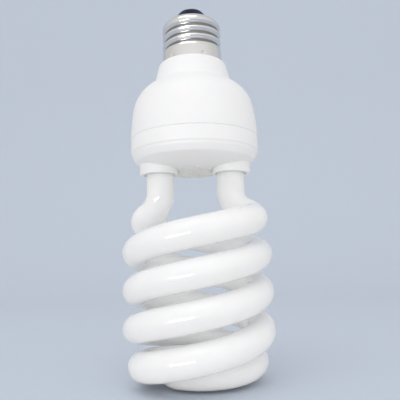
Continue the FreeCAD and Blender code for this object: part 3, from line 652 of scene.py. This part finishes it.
def tubeStations():
    # places and directions from one leg's end to the middle of the foot
    shape = tubeShape
    reach, pitch, hook = shape["spiralRadius"], shape["pitch"], shape["hook"]
    fall = pitch / (2 * math.pi * reach)
    helixTop = shape["legFoot"] - shape["bendDrop"]

    def onSpiral(angle):
        way = math.radians(-shape["bendAngle"] - angle)
        place = Vector((reach * math.cos(way), reach * math.sin(way), helixTop - pitch * angle / 360))
        return place, Vector((math.sin(way), -math.cos(way), -fall)).normalized()

    down = Vector((0, 0, -1))
    legEnd = Vector((shape["legOffset"], 0, shape["legFoot"]))
    stations = [(Vector((shape["legOffset"], 0, shape["top"])), down), (legEnd, down)]
    first, heading = onSpiral(0)
    chord, both = first - legEnd, down + heading
    square, line = 2 * (1 - down.dot(heading)), 2 * chord.dot(both)
    tangent = (math.sqrt(line ** 2 + 4 * square * chord.dot(chord)) - line) / (2 * square)
    near, far = legEnd + down * tangent, first - heading * tangent
    stations.append(((near + far) / 2, (far - near).normalized()))  # where the leg's bend turns over
    parts = shape["spiralParts"]
    stations += [onSpiral(shape["turn"] * step / parts) for step in range(parts + 1)]

    wound = math.radians(-shape["bendAngle"] - shape["turn"])
    out = Vector((math.cos(wound), math.sin(wound), 0))
    along = Vector((out.y, -out.x, 0))
    inward = (reach + 2 * hook) / 2
    middle = out * ((reach - 2 * hook) / 2)
    length, last = math.pi * inward, onSpiral(shape["turn"])[0].z
    parts, ease = shape["hookParts"], shape["fallEase"]
    for step in range(1, parts + 1):
        angle = math.pi * step / parts
        left = 1 - step / parts  # the fall dies away over this half turn
        place = middle + out * (inward * math.cos(angle)) + along * (inward * math.sin(angle))
        place.z = last - fall * length * (1 - left ** (ease + 1)) / (ease + 1)
        slope = Vector((0, 0, fall * left ** ease))
        stations.append((place, (along * math.cos(angle) - out * math.sin(angle) - slope).normalized()))
    level, parts = stations[-1][0].z, shape["middleParts"]
    for step in range(1, parts + 1):
        angle = math.pi * step / parts
        place = -out * (hook + hook * math.cos(angle)) - along * (hook * math.sin(angle))
        place.z = level
        stations.append((place, out * math.sin(angle) - along * math.cos(angle)))
    return stations


def makeGlassTube():
    shape = tubeShape
    half = tubeStations()
    turned = [(Vector((-p.x, -p.y, p.z)), Vector((d.x, d.y, -d.z))) for p, d in reversed(half[:-1])]
    stations = half + turned
    curve = bpy.data.curves.new("glassTubeLine", "CURVE")
    curve.dimensions = "3D"
    curve.resolution_u = shape["alongSteps"]
    curve.bevel_depth = shape["radius"] / 1000
    curve.bevel_resolution = shape["ringSteps"]
    curve.use_fill_caps = True
    spline = curve.splines.new("BEZIER")
    spline.bezier_points.add(len(stations) - 1)
    for index, (point, (place, heading)) in enumerate(zip(spline.bezier_points, stations)):
        handles = []
        for other in (index - 1, index + 1):
            if 0 <= other < len(stations):
                bend = heading.angle(stations[other][1])
                chord = (stations[other][0] - place).length
                handles.append(chord / (3 * math.cos(bend / 4) ** 2))  # exact for a circular arc
            else:
                handles.append(1.0)  # past the tube's ends, where a handle bends nothing
        point.handle_left_type = point.handle_right_type = "FREE"
        point.co = place / 1000
        point.handle_left = (place - heading * handles[0]) / 1000
        point.handle_right = (place + heading * handles[1]) / 1000
    line = bpy.data.objects.new("glassTubeLine", curve)
    bpy.context.scene.collection.objects.link(line)
    bpy.context.view_layer.update()
    depsgraph = bpy.context.evaluated_depsgraph_get()
    mesh = bpy.data.meshes.new_from_object(line.evaluated_get(depsgraph))
    bpy.data.objects.remove(line)
    bm = bmesh.new()
    bm.from_mesh(mesh)
    bmesh.ops.remove_doubles(bm, verts=bm.verts, dist=1e-6)
    bmesh.ops.recalc_face_normals(bm, faces=bm.faces)
    bmesh.ops.scale(bm, vec=(1000, 1000, 1000), verts=bm.verts)
    finishPiece("glassTube", bm, opalGlass, ["spiral_tube"])


makeGlassTube()
print("glass tube made")

# Cement: a rough ring in each collar, lumpy where it was pressed in by hand

cementShape = {
    "outer": 6.8,
    "gap": 0.02,  # left to the collar's bore
    "inner": 5.97,
    "foot": -48.6,
    "head": -43.5,
    "collarOffset": 15.6,
    "legShift": 0.5,
    "lump": 0.35,
    "rows": 6,
    "steps": 96,
}


def makeCement(side, number):
    shape = cementShape
    inner, outer, foot = shape["inner"], shape["outer"] - shape["gap"], shape["foot"]
    bm = bmesh.new()
    start = vert = bm.verts.new((inner, 0, foot))
    for row in range(1, shape["rows"] + 1):
        vert = straightTo(bm, vert, (inner + (outer - inner) * row / shape["rows"], foot))
    vert = straightTo(bm, vert, (outer, shape["head"]))
    vert = straightTo(bm, vert, (inner, shape["head"]))
    bm.edges.new((vert, start))
    turnProfile(bm, shape["steps"])
    for vert in bm.verts:
        if vert.co.z < foot + 0.01:
            vert.co.z += shape["lump"] * (0.5 + noise.noise(vert.co * 0.8 + Vector((9 * side, 0, 0))))
        across = (vert.co.xy.length - inner) / (outer - inner)
        vert.co.x -= shape["legShift"] * side * (1 - across)  # the legs stand inside their collars' middles
    bmesh.ops.translate(bm, vec=(shape["collarOffset"] * side, 0, 0), verts=bm.verts)
    finishPiece(f"tubeCement{number}", bm, lampCement, [f"tube_cement_{number}"])


for number, side in enumerate((1, -1), 1):
    makeCement(side, number)

# The smear under the holder: a low heap wiped on by hand behind the collars, thin and crumbling in front

smearShape = {
    "halfLength": 12.6,
    "halfWidth": 12.5,
    "middle": 2.5,
    "low": -48.4,  # level at which it was wiped off behind
    "thin": -0.08,  # below nothing in front, where only crumbs stand out of the plastic
    "thinEnd": -7.0,
    "thickStart": 9.0,
    "flatness": 16,  # power of the fall towards the rim, high for a steep rim
    "collarGap": 0.15,
    "collarFade": 0.5,
    "sunk": 0.3,  # its hidden top lies this far inside the plastic
    "rimSunk": 0.1,
    "rings": 75,
    "spokes": 280,
    "grain": 0.55,
    "marks": [  # place across, place back, size, height: lumps that stuck and pits where a tool touched
        (1.6, -8.0, 0.6, 1.0), (2.6, -7.0, 0.45, 0.7), (-2.4, -7.0, 0.5, 0.7), (-0.4, -1.0, 0.7, 0.8),
        (-5.2, 1.5, 0.6, 0.7), (4.4, 2.5, 0.6, 0.7), (-5.6, 9.0, 0.8, -1.0), (3.6, 8.0, 0.6, -0.8),
    ],
}


def makeSmear():
    shape, cup = smearShape, holderShape
    arc = (cup["plateRadius"] ** 2 + cup["plateBulge"] ** 2) / (2 * cup["plateBulge"])
    bm = bmesh.new()
    vert = bm.verts.new((0, 0, 0))
    for ring in range(1, shape["rings"] + 1):
        vert = straightTo(bm, vert, (ring / shape["rings"], 0))
    bmesh.ops.spin(
        bm, geom=bm.verts[:] + bm.edges[:], cent=(0, 0, 0), axis=(0, 0, 1),
        angle=2 * math.pi, steps=shape["spokes"], use_merge=True,
    )
    bmesh.ops.remove_doubles(bm, verts=bm.verts, dist=0.0001)
    roof = bmesh.ops.duplicate(bm, geom=bm.faces[:])
    roofVerts = {part for part in roof["geom"] if isinstance(part, bmesh.types.BMVert)}
    for vert in bm.verts:
        across = vert.co.xy.length
        vert.co.x *= shape["halfLength"]
        vert.co.y = shape["middle"] + vert.co.y * shape["halfWidth"]
        plate = cup["plateEdge"] - cup["plateBulge"] + arc - math.sqrt(arc ** 2 - vert.co.xy.length_squared)
        if vert in roofVerts:
            vert.co.z = plate + shape["sunk"]
            continue
        rise = min(1, max(0, (vert.co.y - shape["thinEnd"]) / (shape["thickStart"] - shape["thinEnd"])))
        depth = shape["thin"] + (plate - shape["low"] - shape["thin"]) * rise ** 2 * (3 - 2 * rise)
        for side in (1, -1):  # it was wiped up to the collars, not over them
            away = math.hypot(vert.co.x - side * cup["collarOffset"], vert.co.y) - cup["collarRadius"]
            depth *= min(1, max(0, (away - shape["collarGap"]) / shape["collarFade"]))
        for x, y, size, height in shape["marks"]:
            depth += height * math.exp(-((vert.co.x - x) ** 2 + (vert.co.y - y) ** 2) / size ** 2)
        crumbs = noise.fractal(vert.co * 0.8, 0.9, 2.0, 4) * shape["grain"]
        inside = 1 - across ** shape["flatness"]
        vert.co.z = plate + shape["rimSunk"] - (depth + crumbs + shape["rimSunk"]) * inside
    rims = [edge for edge in bm.edges if edge.is_boundary]
    bmesh.ops.bridge_loops(bm, edges=rims)
    bmesh.ops.recalc_face_normals(bm, faces=bm.faces)
    finishPiece("cementSmear", bm, lampCement, ["cement_smear"], 60)


makeSmear()
print("cement made")


# Parts sealed in the housing keep their solids and take the finishes of a ballast

innerFinishes = {
    # name: base colour, darker colour, roughness, metallic, grain in mm, bump height in mm, nodes
    "phenolicBoard": ("#8A5F33", "#6E4925", 0.6, 0, 0.8, 0.02, ["circuit_board"]),
    "shrinkSleeve": ("#15161D", "#0C0D12", 0.25, 0, 3.0, 0.02, ["electrolytic_capacitor"]),
    "sinteredFerrite": (
        "#2E2E31", "#202022", 0.55, 0, 0.3, 0.03,
        ["choke_core", "toroid_core", "line_choke"],
    ),
    "bobbinNylon": ("#E3DFD0", "#D2CCB8", 0.5, 0, 2.0, 0.02, ["choke_bobbin"]),
    "enamelledCopper": (
        "#B0622E", "#7C3A16", 0.3, 1, 0.45, 0.12,
        ["choke_winding", "toroid_winding_1", "toroid_winding_2", "toroid_winding_3"],
    ),
    "mouldedEpoxy": (
        "#1B1B1C", "#121213", 0.5, 0, 0.4, 0.02,
        ["transistor_1", "transistor_2", "trigger_diac"] + [f"rectifier_diode_{i}" for i in range(1, 5)],
    ),
    "resistorLacquer": (
        "#C2A173", "#A9865A", 0.4, 0, 1.0, 0.02,
        ["base_resistor_1", "base_resistor_2", "start_resistor", "fuse_resistor"],
    ),
    "dippedFilm": (
        "#8C2A1C", "#6F1E14", 0.22, 0, 2.5, 0.04,
        ["resonant_capacitor", "filter_capacitor", "coupling_capacitor"],
    ),
    "wireCover": ("#E4E3DE", "#D2D1CB", 0.45, 0, 1.5, 0.01, ["live_wire", "neutral_wire"]),
    "tinnedWire": (
        "#BDBAB2", "#9B978D", 0.28, 1, 0.5, 0.01,
        [f"{kind}_{i}" for kind in ("wrap_pin", "electrode_lead") for i in range(1, 5)],
    ),
}


def finishInnerParts():
    for name, (light, dark, rough, metallic, grain, height, nodes) in innerFinishes.items():
        material = newMaterial(name, light, Roughness=rough, Metallic=float(metallic))
        where = addNode(material, "ShaderNodeTexCoord")
        speckle = addNode(material, "ShaderNodeTexNoise", {}, {
            "Vector": where.outputs["Object"], "Scale": perMetre(grain), "Detail": 4.0,
        })
        grainy = speckle.outputs["Fac"]
        addNode(material, "ShaderNodeValToRGB", {}, {"Fac": grainy}, {"Color": "Base Color"})
        ramp = material.node_tree.nodes["Color Ramp"].color_ramp
        ramp.elements[0].color = linearColour(dark)
        ramp.elements[1].color = linearColour(light)
        if name == "enamelledCopper":  # turns of wire, one beside the other up the winding
            waveScale = perMetre(grain) * math.pi / 10  # at scale 1 the waves are pi / 10 long
            turns = addNode(material, "ShaderNodeTexWave", {"bands_direction": "Z"}, {
                "Vector": where.outputs["Object"], "Scale": waveScale,
            })
            grainy = turns.outputs["Fac"]
        addNode(material, "ShaderNodeBump", {}, {
            "Height": grainy, "Strength": 0.6, "Distance": height / 1000,
        }, {"Normal": "Normal"})
        for node in nodes:
            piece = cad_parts[node]
            piece.data.materials.clear()
            piece.data.materials.append(material)


finishInnerParts()
print("inner parts finished")


# Studio, in metres: a plain pale floor and backdrop, soft light from above and in front, and a strip
# that shows as the streaks on the tube

studio = {
    "floor": -0.1358,
    "sweep": 1.6,  # half the paper's width, and its height
    "wallBack": 0.96,
    "foldRadius": 0.5,
    "foldSteps": 16,
    "backdrop": "#CDD6E3",
    "bounce": "#F0F0F0",  # what the paper throws back on the lamp, so that its white stays white
    "horizon": "#C2CBD9",  # the backdrop as it looks when lit, for views past its edge
    "airInFront": 1.0,
    "airBehind": 0.72,
}


def makeStudio():
    bm = bmesh.new()
    size, floor, back = studio["sweep"], studio["floor"], studio["wallBack"]
    corner = bm.verts.new((-size, -size, floor))
    for place in ((-size, back, floor), (-size, back, floor + size)):
        corner = bmesh.ops.extrude_vert_indiv(bm, verts=[corner])["verts"][0]
        corner.co = place
    wall = bmesh.ops.extrude_edge_only(bm, edges=bm.edges[:])["geom"]
    moved = [part for part in wall if isinstance(part, bmesh.types.BMVert)]
    bmesh.ops.translate(bm, vec=(2 * size, 0, 0), verts=moved)
    near = 1e-6
    fold = [
        edge for edge in bm.edges
        if all(abs(v.co.y - back) < near and abs(v.co.z - floor) < near for v in edge.verts)
    ]
    bmesh.ops.bevel(
        bm, geom=fold, offset=studio["foldRadius"], affect="EDGES", segments=studio["foldSteps"],
        profile=0.5, material=-1,
    )
    bmesh.ops.recalc_face_normals(bm, faces=bm.faces)
    mesh = bpy.data.meshes.new("paperSweep")
    bm.to_mesh(mesh)
    bm.free()
    mesh.shade_smooth()
    paper = newMaterial("paper", studio["backdrop"], Roughness=0.9, Specular_IOR_Level=0.0)
    where = addNode(paper, "ShaderNodeTexCoord")
    fibres = addNode(paper, "ShaderNodeTexNoise", {}, {
        "Vector": where.outputs["Object"], "Scale": perMetre(2.0), "Detail": 3.0,
    })
    addNode(paper, "ShaderNodeBump", {}, {
        "Height": fibres.outputs["Fac"], "Strength": 0.05, "Distance": 0.0002,
    }, {"Normal": "Normal"})
    ray = addNode(paper, "ShaderNodeLightPath")
    mirrored = addNode(paper, "ShaderNodeMath", {"operation": "MAXIMUM"}, {
        0: ray.outputs["Is Glossy Ray"], 1: ray.outputs["Is Transmission Ray"],
    })
    seen = addNode(paper, "ShaderNodeMath", {"operation": "MAXIMUM"}, {
        0: ray.outputs["Is Camera Ray"], 1: mirrored.outputs[0],
    })
    addNode(paper, "ShaderNodeValToRGB", {}, {"Fac": seen.outputs[0]}, {"Color": "Base Color"})
    ramp = paper.node_tree.nodes["Color Ramp"].color_ramp
    ramp.elements[0].color = linearColour(studio["bounce"])
    ramp.elements[1].color = linearColour(studio["backdrop"])
    mesh.materials.append(paper)
    sweep = bpy.data.objects.new("paperSweep", mesh)
    bpy.context.scene.collection.objects.link(sweep)

    world = bpy.data.worlds.new("studioAir")
    bpy.context.scene.world = world
    world.use_nodes = True
    air = world.node_tree.nodes["Background"]
    way = addNode(world, "ShaderNodeTexCoord")
    axes = addNode(world, "ShaderNodeSeparateXYZ", {}, {"Vector": way.outputs["Generated"]})
    fade = addNode(world, "ShaderNodeMapRange", {"interpolation_type": "SMOOTHSTEP"}, {
        "Value": axes.outputs["Y"], "From Min": -1.0, "From Max": 0.3,
        "To Min": studio["airInFront"], "To Max": studio["airBehind"],
    })
    ray = addNode(world, "ShaderNodeLightPath")
    strength = addNode(world, "ShaderNodeMix", {}, {
        "Factor": ray.outputs["Is Camera Ray"], "A": fade.outputs["Result"], "B": 1.0,
    })
    colour = addNode(world, "ShaderNodeValToRGB", {}, {"Fac": ray.outputs["Is Camera Ray"]})
    colour.color_ramp.elements[0].color = linearColour("#F7F7F8")
    colour.color_ramp.elements[1].color = linearColour(studio["horizon"])
    world.node_tree.links.new(strength.outputs["Result"], air.inputs["Strength"])
    world.node_tree.links.new(colour.outputs["Color"], air.inputs["Color"])


lamps = {
    # name: azimuth and elevation at which it stands, distance, width, height, watts,
    # whether it lights the body, whether it shows in gloss
    "overheadSoftbox": (-20, 62, 0.9, 0.8, 0.5, 0.35, True, True),
    "frontSoftbox": (-8, 4, 0.9, 1.3, 0.12, 0.42, True, False),
    "tubeStrip": (-25, -5, 0.5, 0.31, 0.05, 0.33, False, True),
}
lampSpread = 90  # degrees, narrow enough to keep the glare off the floor near a lamp
lampTarget = Vector((0, 0, -0.07))  # near the middle of the bulb's height


def makeLamps():
    for name, (azimuth, elevation, distance, width, height, watts, onBody, inGloss) in lamps.items():
        light = bpy.data.lights.new(name, "AREA")
        light.shape = "RECTANGLE"
        light.size = width
        light.size_y = height
        light.energy = watts
        light.spread = math.radians(lampSpread)
        lamp = bpy.data.objects.new(name, light)
        turn, lift = math.radians(azimuth), math.radians(elevation)
        way = Vector((math.sin(turn) * math.cos(lift), -math.cos(turn) * math.cos(lift), math.sin(lift)))
        lamp.location = lampTarget + way * distance
        lamp.rotation_euler = way.to_track_quat("Z", "Y").to_euler()
        lamp.visible_camera = False
        lamp.visible_diffuse = onBody
        lamp.visible_glossy = inGloss
        bpy.context.scene.collection.objects.link(lamp)


insideFill = {
    # a real tube lets some light through its thin coat, and this stands in for it inside the spiral
    "heights": (-0.082, -0.1, -0.118),
    "radius": 0.01,
    "watts": 0.0013,
}


def makeInsideFill():
    for number, height in enumerate(insideFill["heights"], 1):
        light = bpy.data.lights.new(f"insideFill{number}", "POINT")
        light.energy = insideFill["watts"]
        light.shadow_soft_size = insideFill["radius"]
        lamp = bpy.data.objects.new(f"insideFill{number}", light)
        lamp.location = (0, 0, height)
        lamp.visible_camera = False
        lamp.visible_glossy = False
        bpy.context.scene.collection.objects.link(lamp)


viewpoint = {
    "distance": 0.205,
    "height": -0.0869,
    "pitch": 0.149,
    "roll": 0.026,
    "focalPixels": 480.1,
    "centre": (195.5, 190.4),
    "frame": 400,
}


def makeCamera():
    eye = viewpoint
    camera = bpy.data.cameras.new("camera")
    camera.sensor_width = 36
    camera.lens = eye["focalPixels"] / eye["frame"] * camera.sensor_width
    camera.shift_x = 0.5 - eye["centre"][0] / eye["frame"]
    camera.shift_y = eye["centre"][1] / eye["frame"] - 0.5
    camera.clip_start = 0.01
    holder = bpy.data.objects.new("camera", camera)
    tilt = Matrix.Rotation(math.pi / 2 + eye["pitch"], 4, "X")
    roll = Matrix.Rotation(-eye["roll"], 4, "Z")
    holder.matrix_world = Matrix.Translation((0, -eye["distance"], eye["height"])) @ tilt @ roll
    bpy.context.scene.collection.objects.link(holder)
    bpy.context.scene.camera = holder


makeStudio()
makeLamps()
makeInsideFill()
makeCamera()
bpy.context.scene.view_settings.view_transform = "Standard"
print("studio made")

bpy.context.view_layer.update()
